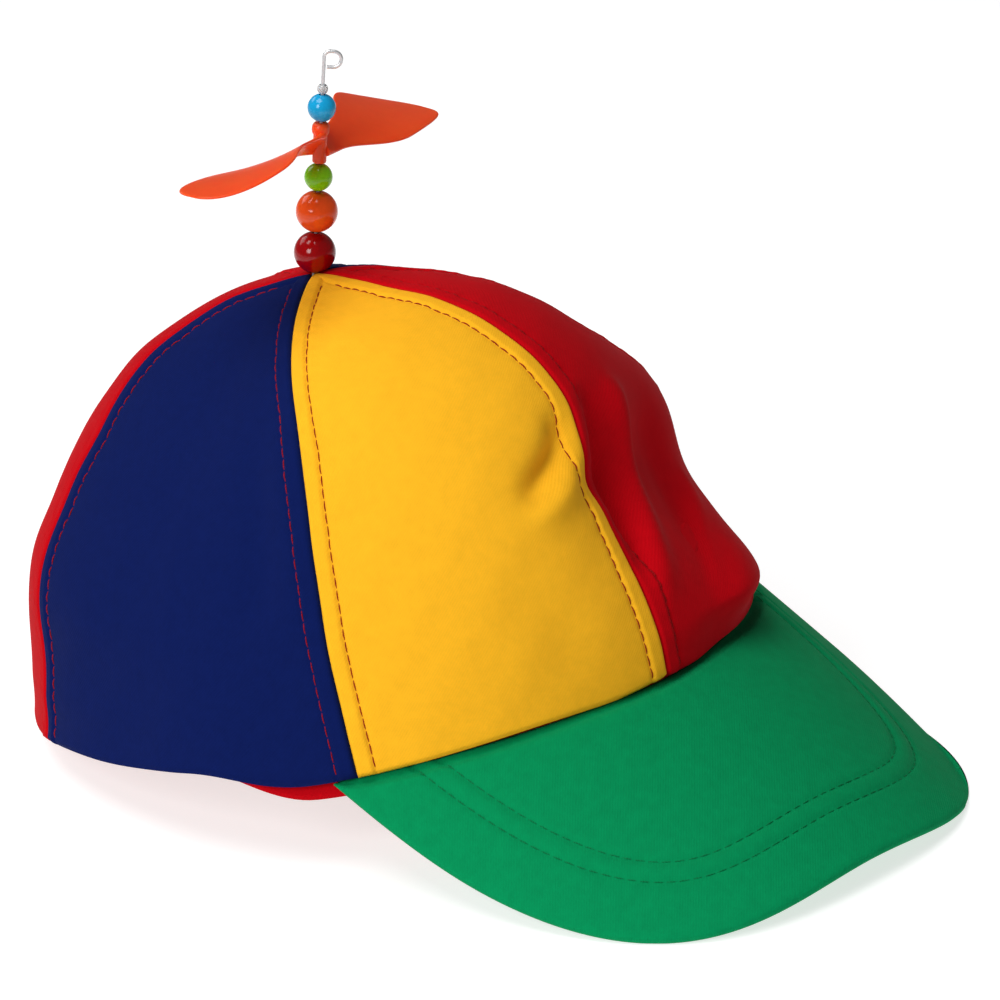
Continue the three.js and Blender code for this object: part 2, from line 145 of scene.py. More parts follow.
# Seams: a row of stitches on each side, through the allowances folded under them
STITCH_ROW = 4.8              # from the seam
STITCH_PITCH = 3.1
STITCH_LENGTH = 2.82
THREAD = 0.155                # radius
ROLL = 1.3                    # radius of the cloth's turn into a seam
ALLOWANCE_RISE = 0.5
GROOVE_DEPTH = 0.65
GROOVE_WIDTH = 0.6
PUCKER = 0.07
PUCKER_WIDTH = 2.6

# Peak
PEAK_LENGTH = 70.8
PEAK_HALF_WIDTH = 80.2
PEAK_ROUNDNESS = 3.107
PEAK_ROOT = 55.7
PEAK_SLOPE = 35.2
PEAK_BEND = 113.6
PEAK_DROP = 1.8
PEAK_THICKNESS = 3.0
PEAK_TUCK = 1.0
PEAK_DIP = 1.8                # how far its cloth is pulled down along the crown, and where it ends
PEAK_DIP_START = 1.8
PEAK_DIP_END = 4.6
PRESSED_EDGE = 0.4            # what is left of its thickness where a corner is pressed flat
PEAK_WAVES = (-1.36, -0.49, 0.13, -0.40, -0.73)   # of its outline
PEAK_WARP = (-0.23, -0.53, -0.76)                 # twist, sag and skew at 60 mm from its middle
PEAK_ROWS = (15.5, 21.0)      # its two rows of stitches, from the outer edge
PEAK_GROOVE = 0.4
PEAK_GROOVE_WIDTH = 0.7
PEAK_RIDGE = 0.22             # between the rows
PEAK_EDGE = 2.2               # how far in its outer edge is rounded
PEAK_EDGE_POWER = 2.6
PEAK_EDGE_LEFT = 0.12         # least half thickness
RIM_LEVEL_START = 60
RIM_LEVEL_END = 85

# Sweatband
BAND_LENGTH = 570
BAND_HEIGHT = 28
BAND_WALL = 1.2
BAND_GAP = 0.5
PANEL_WALL = 1.5              # the room that a panel takes in the frame
BAND_LIFT = 1.8
BAND_DROP = 3.6
BAND_LEVEL_START = 60
BAND_LEVEL_END = 82

# Spindle
SPINDLE_FORWARD = 14.2
SPINDLE_LEFT = 7.0
WIRE = 0.45                   # radius
FOOT_RADIUS = 4.5
FOOT_GAP = 0.5
FOOT_THICKNESS = 1.0
RUNNING_GAP = 0.3
LARGE_BEAD = 5.2
SMALL_BEAD = 3.5
CLEAR_BEAD = 1.35
BEADS = {
    "red": LARGE_BEAD, "orange": LARGE_BEAD, "green": SMALL_BEAD, "blue": SMALL_BEAD,
    "clear": CLEAR_BEAD,
}
BORE = 0.8
HUB_LENGTH = 10.3
HUB_RADIUS = 1.75
STEM_ABOVE_BEADS = 4.2
HOOK_RADIUS = 2.0
HOOK_REACH = 2.2
HOOK_SHOULDER = 1.4
HOOK_TURN = -44

# Propeller
BLADE_LENGTH = 48.9
BLADE_ROOT_PITCH = 60
BLADE_TIP_PITCH = 2.4
BLADE_TWIST = 0.65
BLADE_THICKNESS = 0.8
BLADE_DROOP = 2.8
BLADE_BOW = 3.0
PROPELLER_TURN = 10.4
LEAD_EDGE = {"width": 14.4, "root_share": 0.25, "fullness": 3.3, "rounding": 0.48}
TRAIL_EDGE = {"width": 9.7, "root_share": 0.4, "fullness": 2.4, "rounding": 0.2}
LEAF_WIDENS = (0.12, 0.62)

# Camera
CAMERA_AZIMUTH = -44.91
CAMERA_ELEVATION = 24.37
CAMERA_ROLL = -3.56
CAMERA_DISTANCE = 1475.5
CAMERA_LENS = 218.16
CAMERA_AIM = (2.66, -3.67, 65.41)

# The floor's glow: the middle and half sizes of its oval in metres, how many half sizes out it
# has faded, what is left of it there and its strength
GLOW_MIDDLE = (0.102, 0.103, 0)
GLOW_REACH = (0.25, 0.5, 1)
GLOW_FADED = 1.9
GLOW_LEFT = 0.25
GLOW_STRENGTH = 0.68


def signed_power(value, power):
    """The size of a value raised to a power, with its sign kept."""
    return np.sign(value) * np.abs(value) ** power


def smooth(value, low, high):
    """0 up to low, 1 from high on, and 3t^2 - 2t^3 between them."""
    t = np.clip((value - low) / (high - low), 0, 1)
    return t * t * (3 - 2 * t)


def bell(distance, width):
    """exp(-(distance / width)^2), a bump of height 1."""
    return np.exp(-(distance / width) ** 2)


def lerp(a, b, t):
    return a + (b - a) * t


def unit(vectors):
    """Vectors along the last axis, each divided by its length."""
    return vectors / np.maximum(np.linalg.norm(vectors, axis=-1, keepdims=True), 1e-12)


def run_length(points, axis):
    """The length run along an axis of a grid of points, 0 at its start: the sum of the steps."""
    steps = np.linalg.norm(np.diff(points, axis=axis), axis=-1)
    start = np.zeros_like(np.take(steps, [0], axis=axis))
    return np.concatenate([start, np.cumsum(steps, axis=axis)], axis=axis)


# How the cap stands: turned back about X until the wire points as the frame's joint does,
# then moved until the propeller's middle is at the joint
spin = frame["joints"][0]
spin_axis = np.array(spin["axis"])
forward = math.radians(SPINDLE_FORWARD)
left = math.radians(SPINDLE_LEFT)
lean = forward - math.atan2(-spin_axis[1], spin_axis[2])
upright = np.array([
    math.sin(left),
    -math.sin(forward) * math.cos(left),
    math.cos(forward) * math.cos(left),
])
crown_top = np.array([0, CROWN_TOP_BACK, CROWN_HEIGHT])


def lean_back(points):
    """The cap's own frame turned by the lean: y cos + z sin, z cos - y sin."""
    x, y, z = np.moveaxis(np.asarray(points, float), -1, 0)
    c = math.cos(lean)
    s = math.sin(lean)
    return np.stack([x, y * c + z * s, z * c - y * s], -1)


def half_height(radius):
    """Half a bead's height, measured at its bore."""
    return math.sqrt(radius ** 2 - BORE ** 2)


def stack_heights():
    """Heights along the wire of the middles of what is threaded on it, from the crown up."""
    height = (LARGE_BEAD + RUNNING_GAP) / upright[2] - half_height(LARGE_BEAD)
    middles = {}
    for name in ("red", "orange", "green", "propeller", "blue", "clear"):
        half = half_height(BEADS[name]) if name in BEADS else HUB_LENGTH / 2
        middles[name] = height + half
        height += 2 * half + RUNNING_GAP
    middles["stem_top"] = height + STEM_ABOVE_BEADS
    return middles


threaded = stack_heights()
stand_shift = np.array(spin["pos_m"]) / MM - lean_back(crown_top + upright * threaded["propeller"])


def on_table(points):
    """Points of the cap's own frame where the cap stands."""
    return lean_back(points) + stand_shift


def on_spindle(points, turn=0.0):
    """Points with Z along the wire, from the crown's top: turned about Z by an angle, then about
    Y by the spindle's lean to the left and about X by its lean forward, then stood."""
    across = Matrix.Rotation(forward, 3, "X") @ Matrix.Rotation(left, 3, "Y")
    turned = np.array(across @ Matrix.Rotation(math.radians(turn), 3, "Z"))
    return on_table(np.asarray(points) @ turned.T + crown_top)


def board_point(u, v, depth=0.0):
    """The peak's board: u runs round a cylinder of the bend's radius, v out along its slope and
    depth down through it. across = r sin(u / bend), rise = r cos(u / bend) - bend."""
    turn = u / PEAK_BEND
    slope = math.radians(PEAK_SLOPE)
    radius = PEAK_BEND - depth
    rise = radius * np.cos(turn) - PEAK_BEND
    return np.stack([
        radius * np.sin(turn),
        -HEAD_FRONT - v * math.cos(slope) - rise * math.sin(slope),
        -PEAK_DROP - v * math.sin(slope) + rise * math.cos(slope),
    ], -1)


def board_place(x, y, depth=0.0):
    """The u and v of the board over a place in plan, the inverse of board_point."""
    slope = math.radians(PEAK_SLOPE)
    radius = PEAK_BEND - depth
    turn = np.arcsin(np.clip(x / radius, -1, 1))
    rise = radius * np.cos(turn) - PEAK_BEND
    return PEAK_BEND * turn, -(y + HEAD_FRONT + rise * math.sin(slope)) / math.cos(slope)


def rim_plan(angle, inset=0.0):
    """The rim in plan, a superellipse: half width times sin^(2/n), reach times cos^(2/n)."""
    c = np.cos(angle)
    s = np.sin(angle)
    reach = np.where(c > 0, HEAD_FRONT, HEAD_BACK) - inset
    power = 2 / np.where(c > 0, FRONT_ROUNDNESS, BACK_ROUNDNESS)
    return (inset - HEAD_HALF_WIDTH) * signed_power(s, power), -reach * signed_power(c, power)


def rim_height(angle, x, y):
    """The rim's height: the board's at the front, eased to level behind the ears."""
    level = math.cos(math.radians(RIM_LEVEL_END))
    board = math.cos(math.radians(RIM_LEVEL_START))
    return smooth(np.cos(angle), level, board) * board_point(*board_place(x, y))[..., 2]


def fullness(angle):
    """The power of the crown's upright section: the sides', eased to the front's or back's with
    the square of the cosine."""
    c = np.cos(angle)
    return SIDE_FULLNESS + (np.where(c > 0, FRONT_FULLNESS, BACK_FULLNESS) - SIDE_FULLNESS) * c * c


def fold_swell(angle, height):
    """The folds' sum, as a share of the half width: depth exp(-away^2 - up^2) each."""
    swell = np.zeros_like(height)
    for depth, place, wide, middle, tall in FOLDS:
        away = np.degrees(np.abs(np.angle(np.exp(1j * (angle - math.radians(place))))))
        swell += depth * bell(away, wide) * bell(height - middle, tall)
    return swell * smooth(height, 0, FOLD_START)


def crown_point(angle, climb, most_swell=np.inf):
    """The crown's outer surface. With t = climb 90 degrees and n the fullness there, the plan
    shrinks with cos(t)^(2/n) and the height grows with sin(t)^(2/n). The sides draw in by
    4 h (1 - h) and the folds are laid on outwards."""
    x, y = rim_plan(angle)
    power = 2 / fullness(angle)
    radius = np.abs(np.cos(climb * math.pi / 2)) ** power
    height = np.abs(np.sin(climb * math.pi / 2)) ** power
    out_y = y - CROWN_TOP_BACK
    drawn_in = SIDE_SLOPE * np.sin(angle) ** 2 * 4 * height * (1 - height)
    reach = (np.minimum(fold_swell(angle, height), most_swell) - drawn_in) * HEAD_HALF_WIDTH
    length = np.hypot(x, out_y)
    rim_z = rim_height(angle, x, y)
    from_top = length * radius + reach
    fall = SHOULDER_FALL[0] + SHOULDER_FALL[1] * np.cos(angle)
    fall = fall * bell(from_top - SHOULDER_RING[0], SHOULDER_RING[1]) * smooth(from_top, 2, 14)
    return np.stack([
        x * radius + x / length * reach,
        CROWN_TOP_BACK + out_y * radius + out_y / length * reach,
        rim_z + (CROWN_HEIGHT - rim_z) * height - fall,
    ], -1)


def climb_at_radius(angle, radius):
    """The climb where the crown is that far from its middle: the inverse of cos(t)^(2/n)."""
    x, y = rim_plan(angle)
    share = radius / np.hypot(x, y - CROWN_TOP_BACK)
    return np.arccos(share ** (fullness(angle) / 2)) / (math.pi / 2)


def climb_at_height(angle, share):
    """The climb where the crown has risen by a share: the inverse of sin(t)^(2/n)."""
    return np.arcsin(share ** (fullness(angle) / 2)) / (math.pi / 2)


def crown_surface(angle, climb, most_swell=np.inf):
    """Points of the crown, with the directions round it and outwards there: the differences of
    points a small step away on each side, and their cross product."""
    step = 0.006
    high = np.minimum(climb + step, 1 - step / 2)
    low = np.maximum(climb - step, 0)
    behind = crown_point(angle - step, climb, most_swell)
    round_way = unit(crown_point(angle + step, climb, most_swell) - behind)
    up_way = unit(crown_point(angle, high, most_swell) - crown_point(angle, low, most_swell))
    outwards = unit(np.cross(up_way, round_way))
    return crown_point(angle, climb, most_swell), round_way, outwards


def grid_faces(rows, columns, ring_rows=False, ring_columns=False):
    """The quads between neighbouring points of a grid, whose rows or columns may close up."""
    index = np.arange(rows * columns).reshape(rows, columns)
    if ring_rows:
        index = np.concatenate([index, index[:1]])
    if ring_columns:
        index = np.concatenate([index, index[:, :1]], 1)
    corners = [index[:-1, :-1], index[:-1, 1:], index[1:, 1:], index[1:, :-1]]
    return np.stack(corners, -1).reshape(-1, 4)


def sheet_faces(rows, columns, ring=False):
    """The quads of a closed sheet: an outer and an inner grid, and the walls between them."""
    index = np.arange(rows * columns).reshape(rows, columns)
    inner = index + rows * columns
    strips = [(index[0], inner[0]), (inner[-1], index[-1])]
    if ring:
        strips = [(np.append(a, a[:1]), np.append(b, b[:1])) for a, b in strips]
    else:
        strips += [(inner[:, 0], index[:, 0]), (index[:, -1], inner[:, -1])]
    walls = [np.stack([a[:-1], b[:-1], b[1:], a[1:]], -1) for a, b in strips]
    outer_faces = grid_faces(rows, columns, ring_columns=ring)
    return np.concatenate([outer_faces, outer_faces[:, ::-1] + rows * columns, *walls])


def add_object(name, data):
    added = bpy.data.objects.new(name, data)
    bpy.context.scene.collection.objects.link(added)
    return added


def make_piece(name, points, faces, material, cloth_map=None):
    """A mesh object of points in millimetres on the table, its faces turned outwards, with a
    map that gives each point's place on its cloth in millimetres."""
    mesh = bpy.data.meshes.new(name)
    flat = np.asarray(points, float).reshape(-1, 3) * MM
    mesh.from_pydata(flat.tolist(), [], [list(face) for face in faces])
    if cloth_map is not None:
        corners = np.zeros(len(mesh.loops), np.int32)
        mesh.loops.foreach_get("vertex_index", corners)
        layer = mesh.uv_layers.new(name="cloth")
        places = np.asarray(cloth_map, np.float32).reshape(-1, 2)
        layer.data.foreach_set("uv", places[corners].ravel())
    work = bmesh.new()
    work.from_mesh(mesh)
    bmesh.ops.recalc_face_normals(work, faces=work.faces)
    work.to_mesh(mesh)
    work.free()
    mesh.shade_smooth()
    mesh.materials.append(material)
    return add_object(name, mesh)


def dress(piece, body, slot, *nodes):
    """The piece rides on a body and stands for CAD nodes. Its slot is not used."""
    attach(piece, body)
    if nodes:
        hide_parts(*nodes)


# Materials


def srgb(red, green, blue):
    """A colour as a screen shows it, 0 to 255, as linear light."""
    share = np.array([red, green, blue]) / 255
    linear = np.where(share <= 0.04045, share / 12.92, ((share + 0.055) / 1.055) ** 2.4)
    return (*linear.tolist(), 1.0)


def add_node(tree, kind, inputs=None, **settings):
    """A shader node with its settings, whose inputs are values or other nodes' outputs."""
    node = tree.nodes.new("ShaderNode" + kind)
    for key, value in settings.items():
        setattr(node, key, value)
    for socket, value in (inputs or {}).items():
        if isinstance(value, bpy.types.NodeSocket):
            tree.links.new(value, node.inputs[socket])
        else:
            node.inputs[socket].default_value = value
    return node


def calculate(tree, operation, *values):
    """The output of a Math node."""
    return add_node(tree, "Math", dict(enumerate(values)), operation=operation).outputs[0]


def new_group(name, inputs, outputs):
    """An empty node group with named number or vector inputs and number outputs."""
    group = bpy.data.node_groups.new(name, "ShaderNodeTree")
    for label, kind, value in inputs:
        socket = group.interface.new_socket(label, in_out="INPUT", socket_type="NodeSocket" + kind)
        if value is not None:
            socket.default_value = value
    for label in outputs:
        group.interface.new_socket(label, in_out="OUTPUT", socket_type="NodeSocketFloat")
    given = group.nodes.new("NodeGroupInput").outputs
    return group, given, group.nodes.new("NodeGroupOutput").inputs


TWILL_STRAYING = 2.2          # how far uneven yarn turns the ribs' sine
TWILL_CROSSING = 1.7          # crossing threads for each rib
# how much darker the weave's hollows are painted, as painted shade
TWILL_HOLLOW_PAINTED_SHADE = 0.10
TWILL_YARN_SHADE = 0.12
TWILL_WASH = 0.32


def make_twill():
    """Cotton twill on the cloth's map: slanting ribs, each broken up by the threads that cross
    it, with uneven yarn, and the hollows of the weave painted darker, as painted shade. Height is
    0 to 1 and Shade is about 1."""
    group, given, out = new_group(
        "cotton twill",
        [("Map", "Vector", None), ("Rib spacing", "Float", 0.6), ("Unevenness", "Float", 0.5)],
        ["Shade", "Height"],
    )
    place = add_node(group, "SeparateXYZ", {0: given["Map"]}).outputs

    def maths(operation, *values):
        return calculate(group, operation, *values)

    def cloth_noise(scale, detail, roughness):
        return add_node(group, "TexNoise", {
            "Vector": given["Map"], "Scale": scale, "Detail": detail, "Roughness": roughness,
        }, noise_dimensions="2D").outputs[0]

    slant = maths("ADD", place["X"], place["Y"])
    counter = maths("SUBTRACT", place["X"], place["Y"])
    turns = maths("DIVIDE", 2 * math.pi / math.sqrt(2), given["Rib spacing"])
    yarn = cloth_noise(1.1, 3.0, 0.6)
    straying = maths("MULTIPLY", yarn, TWILL_STRAYING)
    ribs = maths("SINE", maths("ADD", maths("MULTIPLY", slant, turns), straying))
    crossing = maths("MULTIPLY", counter, maths("MULTIPLY", turns, TWILL_CROSSING))
    crossed = maths("MULTIPLY_ADD", maths("SINE", crossing), 0.3, 0.7)
    weave = maths("MULTIPLY_ADD", maths("MULTIPLY", ribs, crossed), 0.35, 0.5)
    blotch = cloth_noise(0.28, 4.0, 0.65)
    uneven = maths("MULTIPLY", maths("SUBTRACT", yarn, 0.5), given["Unevenness"])
    group.links.new(maths("ADD", weave, uneven), out["Height"])
    wash = maths("MULTIPLY", maths("SUBTRACT", blotch, 0.5), given["Unevenness"])
    # the weave's hollows painted darker, following its bump: painted shade
    painted_hollow_shade = maths("MULTIPLY_ADD", weave, TWILL_HOLLOW_PAINTED_SHADE, 1 - TWILL_HOLLOW_PAINTED_SHADE / 2)
    dye = maths("MULTIPLY_ADD", wash, TWILL_WASH, maths("MULTIPLY", uneven, TWILL_YARN_SHADE))
    group.links.new(maths("ADD", painted_hollow_shade, dye), out["Shade"])
    return group


def make_grain():
    """Fine grain on Object coordinates, at a size in millimetres: Height is 0 to 1 and Shade is
    about 1, swinging by the given strength."""
    group, given, out = new_group(
        "fine grain",
        [("Size", "Float", 1.0), ("Strength", "Float", 0.1)],
        ["Shade", "Height"],
    )
    here = add_node(group, "TexCoord").outputs["Object"]
    scale = calculate(group, "DIVIDE", 1 / MM, given["Size"])
    noise = add_node(group, "TexNoise", {
        "Vector": here, "Scale": scale, "Detail": 3.0, "Roughness": 0.55,
    }).outputs[0]
    from_mean = calculate(group, "SUBTRACT", noise, 0.5)
    swing = calculate(group, "MULTIPLY_ADD", from_mean, given["Strength"], 1.0)
    group.links.new(swing, out["Shade"])
    group.links.new(noise, out["Height"])
    return group


TWILL = make_twill()
GRAIN = make_grain()


def new_material(name):
    """A material with nothing but its Principled shader, and that shader."""
    material = bpy.data.materials.new(name)
    material.use_nodes = True
    return material, material.node_tree, material.node_tree.nodes["Principled BSDF"]


def set_shader(shader, **values):
    """Sets sockets of a shader, named with _ for each space."""
    for socket, value in values.items():
        shader.inputs[socket.replace("_", " ")].default_value = value


def tint(tree, shader, colour, shade, height, depth):
    """Feeds the shader the colour times the shade, and a bump of a depth in millimetres."""
    scaled = add_node(tree, "VectorMath", {0: colour[:3], 3: shade}, operation="SCALE")
    tree.links.new(scaled.outputs[0], shader.inputs["Base Color"])
    bumped = add_node(tree, "Bump", {"Height": height, "Distance": depth * MM, "Strength": 1})
    tree.links.new(bumped.outputs[0], shader.inputs["Normal"])


def cotton(name, colour, unevenness, depth=0.05):
    """Matt cotton twill with a soft nap."""
    material, tree, shader = new_material(name)
    weave = add_node(tree, "Group", {
        "Map": add_node(tree, "TexCoord").outputs["UV"],
        "Rib spacing": 0.62, "Unevenness": unevenness,
    }, node_tree=TWILL).outputs
    tint(tree, shader, colour, weave["Shade"], weave["Height"], depth)
    set_shader(shader, Roughness=0.92, Specular_IOR_Level=0.06)
    set_shader(shader, Sheen_Weight=0.015, Sheen_Roughness=0.4)
    return material


PLY_TURNS = 9.0               # radians of twist for each millimetre of thread


def thread_finish(name, colour):
    """Twisted sewing thread: its ply winds round it, and the grooves between the plies are
    painted darker, as painted shade.
    """
    material, tree, shader = new_material(name)
    along_thread = add_node(tree, "TexCoord").outputs["UV"]
    place = add_node(tree, "SeparateXYZ", {0: along_thread}).outputs
    wound = calculate(tree, "MULTIPLY_ADD", place["X"], PLY_TURNS, place["Y"])
    ply = calculate(tree, "MULTIPLY_ADD", calculate(tree, "SINE", wound), 0.5, 0.5)
    # the grooves between the plies painted darker: painted shade
    shade = calculate(tree, "MULTIPLY_ADD", ply, 0.4, 0.7)
    tint(tree, shader, colour, shade, ply, 0.05)
    set_shader(shader, Roughness=0.7, Specular_IOR_Level=0.12)
    return material


def grained(name, colour, size, strength, depth, **values):
    """A material of one colour with the fine grain, given the grain's size and strength and the
    depth of its bump, and the values of the shader's own sockets."""
    material, tree, shader = new_material(name)
    grain = add_node(
        tree, "Group", {"Size": size, "Strength": strength}, node_tree=GRAIN,
    ).outputs
    tint(tree, shader, colour, grain["Shade"], grain["Height"], depth)
    set_shader(shader, **values)
    return material


def lacquer(name, colour):
    """Thick glossy lacquer, a little wavy, over a turned ball."""
    return grained(
        name, colour, 1.6, 0.22, 0.015, Roughness=0.14, Specular_IOR_Level=0.3,
        Coat_Weight=0.15, Coat_Roughness=0.05,
    )


def moulded(name, colour):
    """Thin moulded plastic that lets some light through, half glossy, with a slight grain."""
    return grained(
        name, colour, 3.0, 0.12, 0.03, Roughness=0.4, Specular_IOR_Level=0.3,
        Coat_Weight=0.08, Coat_Roughness=0.15, Subsurface_Weight=0.6,
        Subsurface_Radius=(1.0, 0.3, 0.12), Subsurface_Scale=4 * MM,
    )


def steel(name, colour):
    """Bright drawn wire."""
    return grained(name, colour, 0.5, 0.2, 0.004, Roughness=0.38, Metallic=0.6)


def milky(name, colour):
    """Clear glass gone a little milky."""
    return grained(
        name, colour, 0.8, 0.1, 0.01, Roughness=0.12, IOR=1.5, Transmission_Weight=0.55,
    )


FINISHES = {
    "cotton_yellow": cotton("cotton yellow", srgb(248, 181, 34), 0.5),
    "cotton_navy": cotton("cotton navy", srgb(8, 24, 82), 0.7),
    "cotton_red": cotton("cotton red", srgb(190, 2, 16), 0.5),
    "cotton_green": cotton("cotton green", srgb(2, 140, 84), 0.8, depth=0.07),
    "bead_red": lacquer("bead red", srgb(162, 2, 9)),
    "bead_orange": lacquer("bead orange", srgb(255, 92, 28)),
    # the green bead is coloured lighter than its own green, as painted light against the blade's
    # shadow on it
    "bead_green": lacquer("bead green", srgb(140, 226, 20)),
    "bead_blue": lacquer("bead blue", srgb(20, 160, 214)),
    "bead_clear": milky("bead clear", srgb(240, 240, 240)),
    "propeller_orange": moulded("propeller orange", srgb(255, 78, 24)),
    "wire_steel": steel("wire steel", srgb(222, 223, 225)),
}
RED_THREAD = thread_finish("red thread", srgb(160, 12, 18))
GREEN_THREAD = thread_finish("green thread", srgb(2, 124, 72))


# Crown


def seam_angle(seam, share):
    """The angle round at which a seam runs, at each share of the climb: a straight run from the
    rim to the top, with three sines of one, two and three half waves."""
    rim, top, waves = SEAMS[seam]
    angle = lerp(rim, top, share)
    for count, wave in enumerate(waves, 1):
        angle = angle + wave * np.sin(count * math.pi * share)
    return np.radians(angle)


def crease_relief(points):
    """The sum of the creases. Each is drawn on the crown as a curve near its given places, the
    running mean of the straight lines through them, and stands out by the largest along it of
    depth (4 t (1 - t))^0.35 exp(-(d / width)^2), with t the share along it and d the distance."""
    relief = np.zeros(points.shape[:-1])
    t = np.linspace(0, 1, CREASE_STEPS)
    taper = (4 * t * (1 - t)) ** CREASE_TAPER
    for depth, width, places in CREASES:
        corner = np.linspace(0, 1, len(places))
        spread = t[:, None] + np.linspace(-CREASE_ROUNDING, CREASE_ROUNDING, 9)
        angle, height = (np.interp(spread, corner, row).mean(1) for row in np.array(places).T)
        angle = np.radians(angle)
        line = crown_point(angle, climb_at_height(angle, height))
        away = np.linalg.norm(points[..., None, :] - line, axis=-1)
        relief += depth * (taper * bell(away, width)).max(-1)
    return relief


def even_rows(first_seam, second_seam, spacing):
    """Shares of the climb that step evenly along the line between two seams."""
    share = np.linspace(0, 1, 900) ** 2
    angle = (seam_angle(first_seam, share) + seam_angle(second_seam, share)) / 2
    length = run_length(crown_point(angle, share * climb_at_radius(angle, TOP_HOLE)), 0)
    rows = int(length[-1] / spacing)
    return np.interp(np.linspace(0, length[-1], rows + 1), length, share)


def seam_columns(width):
    """Shares of a panel's width that lie close together near both seams."""
    away = np.linspace(0, width / 2, 800)
    spacing = lerp(0.3, 1.5, smooth(away, STITCH_ROW + 1, STITCH_ROW + 9))
    count = np.concatenate([[0], np.cumsum(np.diff(away) / spacing[1:])])
    half = np.interp(np.linspace(0, count[-1], int(count[-1]) + 1), count, away) / width
    return np.concatenate([half, 1 - half[-2::-1]])


def seam_relief(away, along):
    """How far the cloth stands over the smooth crown, away from a seam and along its stitches.
    It rolls into the seam as a quarter circle, stands proud over the allowance, is pulled down
    in a groove by the stitches and puckers between them."""
    into = ROLL - np.minimum(away, ROLL)
    roll = np.sqrt(ROLL ** 2 - into ** 2) - ROLL
    allowance = ALLOWANCE_RISE * (1 - smooth(away, STITCH_ROW - 0.4, STITCH_ROW + 1.2))
    groove = -GROOVE_DEPTH * bell(away - STITCH_ROW, GROOVE_WIDTH)
    beat = np.cos(2 * math.pi * along / STITCH_PITCH)
    uneven = np.sin(along * 0.61) + np.sin(along * 0.37 + 1.3) + np.sin(along * 0.97 + 4.1)
    near = bell(away - STITCH_ROW, PUCKER_WIDTH)
    puckers = PUCKER * near * (beat * (0.7 + 0.3 * uneven) + 0.8 * uneven)
    return roll + allowance + groove + puckers * smooth(away, 0, 1.2)


def across_rows(values, run, distance):
    """Values on each row of a grid, a distance along the row, between its nearest two points."""
    column = np.clip((run < distance).sum(1) - 1, 0, run.shape[1] - 2)
    row = np.arange(len(run))
    before = run[row, column]
    share = (distance - before) / (run[row, column + 1] - before)
    return lerp(values[row, column], values[row, column + 1], np.clip(share, 0, 1)[:, None])


def make_stitches(line, outwards, along, start, end):
    """Stitches on a line of points, as capsules of thread: for each, five rings of six points
    and two ends, that rise over the cloth and dip into it at both ends."""
    count = int((end - start) / STITCH_PITCH)
    share = np.array([0.0, 0.06, 0.3, 0.5, 0.7, 0.94, 1.0])
    girth = np.array([0.02, 0.7, 1.0, 1.0, 1.0, 0.7, 0.02])
    begin = start + STITCH_PITCH * np.arange(count)[:, None]
    place = begin + (STITCH_PITCH - STITCH_LENGTH) / 2 + STITCH_LENGTH * share
    centre = np.stack([np.interp(place, along, line[:, k]) for k in range(3)], -1)
    up = unit(np.stack([np.interp(place, along, outwards[:, k]) for k in range(3)], -1))
    lift = THREAD * (1.2 * np.sin(math.pi * share) - 0.35)
    centre = centre + up * lift[:, None]
    ahead = unit(np.gradient(centre, axis=1))
    side = unit(np.cross(ahead, up))
    turn = np.arange(6) * math.pi / 3
    over = np.cross(side, ahead)
    ring = side[:, :, None] * np.cos(turn)[:, None] + over[:, :, None] * np.sin(turn)[:, None]
    points = centre[:, :, None] + ring * (THREAD * girth)[:, None, None]
    cloth_map = np.stack(np.broadcast_arrays(place[:, :, None], turn), -1)
    tube = grid_faces(len(share), 6, ring_columns=True)
    ends = np.array([[0, 1, 2, 3], [0, 3, 4, 5]])
    faces = np.concatenate([tube, ends, ends[:, ::-1] + 6 * (len(share) - 1)])
    each = np.arange(count)[:, None, None] * 6 * len(share)
    return points.reshape(-1, 3), (faces + each).reshape(-1, 4), cloth_map.reshape(-1, 2)


def wander(points):
    """Slight unevenness of soft cloth, under half a millimetre: a few slanting sines of place."""
    x, y, z = np.moveaxis(points, -1, 0)
    slow = np.sin(x * 0.11 + z * 0.07 + 0.4) * np.sin(y * 0.09 - z * 0.12 + 1.9)
    quick = np.sin(x * 0.23 - y * 0.17 + 2.2) * np.sin(z * 0.26 + y * 0.11)
    return 0.30 * slow + 0.14 * quick


def hem_wave(angle):
    """How far the rim's waves lift it: the sum of their bells."""
    around = np.degrees(angle) % 360
    return sum(rise * bell(around - place, HEM_WAVE_WIDTH) for rise, place in HEM_WAVES)


